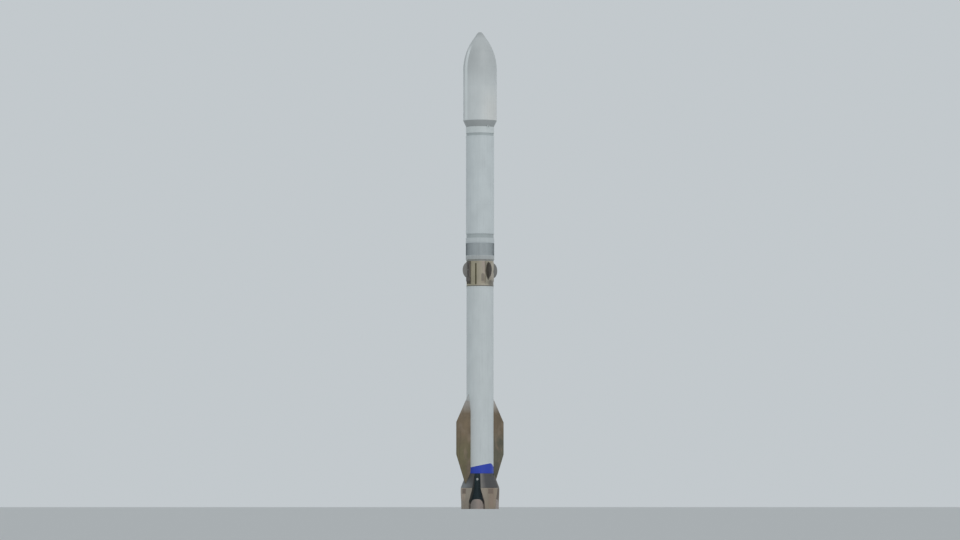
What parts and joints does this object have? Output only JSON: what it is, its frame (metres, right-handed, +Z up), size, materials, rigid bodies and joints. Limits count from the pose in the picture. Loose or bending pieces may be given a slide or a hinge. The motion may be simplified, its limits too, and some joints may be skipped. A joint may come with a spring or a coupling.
{
  "type": "space rocket, 1:10 scale model",
  "caption": "Two-stage heavy-lift space rocket as a 1:10 model, with swinging engines, turning fins and an opening payload fairing.",
  "frame": {"origin": "on the rocket's axis, in the plane of the four hold-down faces that stand on the launch table", "axes": "+Z up along the rocket's axis to its nose, +X through strake_1, +Y at right angles to the strakes"},
  "size_m": [1.48, 1.088, 12.4705],
  "materials": {
    "booster_white": "satin white paint",
    "upper_white": "satin white paint",
    "fairing_white": "satin white paint over composite",
    "interstage_grey": "satin grey paint",
    "groove_grey": "matte dark grey paint",
    "bronze": "bronze heat-resistant coating",
    "fin_brown": "dark heat-resistant coating",
    "strake_brown": "brown ablative coating, brushed on",
    "blue": "satin deep blue paint",
    "aft_brown": "dark brown heat-resistant coating",
    "aft_tan": "tan copper-coloured thermal coating",
    "recess_dark": "matte near-black coating",
    "shield_grey": "woven ceramic heat shield",
    "engine_metal": "heat-tinted nickel alloy",
    "bright_metal": "clean brushed metal",
    "fin_edge": "worn light-grey metal edge",
    "lining_cream": "quilted cream fabric"
  },
  "bodies": {
    "root": {"aft_skirt": "recess_dark", "leg_fairing_lower_1": "aft_tan", "leg_fairing_lower_2": "aft_tan", "leg_fairing_lower_3": "aft_tan", "leg_fairing_lower_4": "aft_tan", "leg_fairing_upper_1": "aft_brown", "leg_fairing_upper_2": "aft_brown", "leg_fairing_upper_3": "aft_brown", "leg_fairing_upper_4": "aft_brown", "arch_shroud_1": "aft_tan", "arch_shroud_2": "aft_tan", "arch_shroud_3": "aft_tan", "arch_shroud_4": "aft_tan", "heat_shield": "shield_grey", "blue_band": "blue", "booster_tank": "booster_white", "forward_module": "bronze", "strake_1": "strake_brown", "strake_2": "strake_brown", "booster_raceway": "booster_white", "fin_housing_1": "fin_brown", "fin_housing_2": "fin_brown", "fin_housing_3": "fin_brown", "fin_housing_4": "fin_brown", "interstage": "interstage_grey", "upper_engine_block": "engine_metal", "upper_aft_ring": "upper_white", "upper_aft_groove": "groove_grey", "upper_tank": "upper_white", "upper_raceway": "upper_white", "upper_forward_groove": "groove_grey", "payload_ring": "upper_white", "payload_adapter": "interstage_grey"},
    "engine_1": {"engine_1": "engine_metal"},
    "engine_2": {"engine_2": "engine_metal"},
    "engine_3": {"engine_3": "engine_metal"},
    "engine_4": {"engine_4": "engine_metal"},
    "engine_5": {"engine_5": "engine_metal"},
    "engine_6": {"engine_6": "engine_metal"},
    "engine_7": {"engine_7": "engine_metal"},
    "engine_8": {"engine_8": "engine_metal"},
    "engine_9": {"engine_9": "engine_metal"},
    "fin_1": {"fin_1": "fin_brown"},
    "fin_2": {"fin_2": "fin_brown"},
    "fin_3": {"fin_3": "fin_brown"},
    "fin_4": {"fin_4": "fin_brown"},
    "fairing_half_1": {"fairing_half_1": "fairing_white"},
    "fairing_half_2": {"fairing_half_2": "fairing_white"}
  },
  "joints": [
    {"name": "engine_1_gimbal", "type": "hinge", "parent": "root", "child": "engine_1", "pos_m": [0, 0, 0.415], "axis": [1, 0, 0], "range_deg": [-5, 5]},
    {"name": "engine_2_gimbal", "type": "hinge", "parent": "root", "child": "engine_2", "pos_m": [0.278, 0, 0.415], "axis": [0, 1, 0], "range_deg": [-5, 5]},
    {"name": "engine_3_gimbal", "type": "hinge", "parent": "root", "child": "engine_3", "pos_m": [0.19658, 0.19658, 0.415], "axis": [-0.7071, 0.7071, 0], "range_deg": [-5, 5]},
    {"name": "engine_4_gimbal", "type": "hinge", "parent": "root", "child": "engine_4", "pos_m": [0, 0.278, 0.415], "axis": [-1, 0, 0], "range_deg": [-5, 5]},
    {"name": "engine_5_gimbal", "type": "hinge", "parent": "root", "child": "engine_5", "pos_m": [-0.19658, 0.19658, 0.415], "axis": [-0.7071, -0.7071, 0], "range_deg": [-5, 5]},
    {"name": "engine_6_gimbal", "type": "hinge", "parent": "root", "child": "engine_6", "pos_m": [-0.278, 0, 0.415], "axis": [0, -1, 0], "range_deg": [-5, 5]},
    {"name": "engine_7_gimbal", "type": "hinge", "parent": "root", "child": "engine_7", "pos_m": [-0.19658, -0.19658, 0.415], "axis": [0.7071, -0.7071, 0], "range_deg": [-5, 5]},
    {"name": "engine_8_gimbal", "type": "hinge", "parent": "root", "child": "engine_8", "pos_m": [0, -0.278, 0.415], "axis": [1, 0, 0], "range_deg": [-5, 5]},
    {"name": "engine_9_gimbal", "type": "hinge", "parent": "root", "child": "engine_9", "pos_m": [0.19658, -0.19658, 0.415], "axis": [0.7071, 0.7071, 0], "range_deg": [-5, 5]},
    {"name": "fin_1_pivot", "type": "hinge", "parent": "root", "child": "fin_1", "pos_m": [0.3935, 0, 6.225], "axis": [1, 0, 0], "range_deg": [-20, 20]},
    {"name": "fin_2_pivot", "type": "hinge", "parent": "root", "child": "fin_2", "pos_m": [0, 0.3935, 6.225], "axis": [0, 1, 0], "range_deg": [-20, 20]},
    {"name": "fin_3_pivot", "type": "hinge", "parent": "root", "child": "fin_3", "pos_m": [-0.3935, 0, 6.225], "axis": [-1, 0, 0], "range_deg": [-20, 20]},
    {"name": "fin_4_pivot", "type": "hinge", "parent": "root", "child": "fin_4", "pos_m": [0, -0.3935, 6.225], "axis": [0, -1, 0], "range_deg": [-20, 20]},
    {"name": "fairing_half_1_hinge", "type": "hinge", "parent": "root", "child": "fairing_half_1", "pos_m": [0, -0.38, 9.985], "axis": [1, 0, 0], "range_deg": [0, 60]},
    {"name": "fairing_half_2_hinge", "type": "hinge", "parent": "root", "child": "fairing_half_2", "pos_m": [0, 0.38, 9.985], "axis": [-1, 0, 0], "range_deg": [0, 60]}
  ]
}
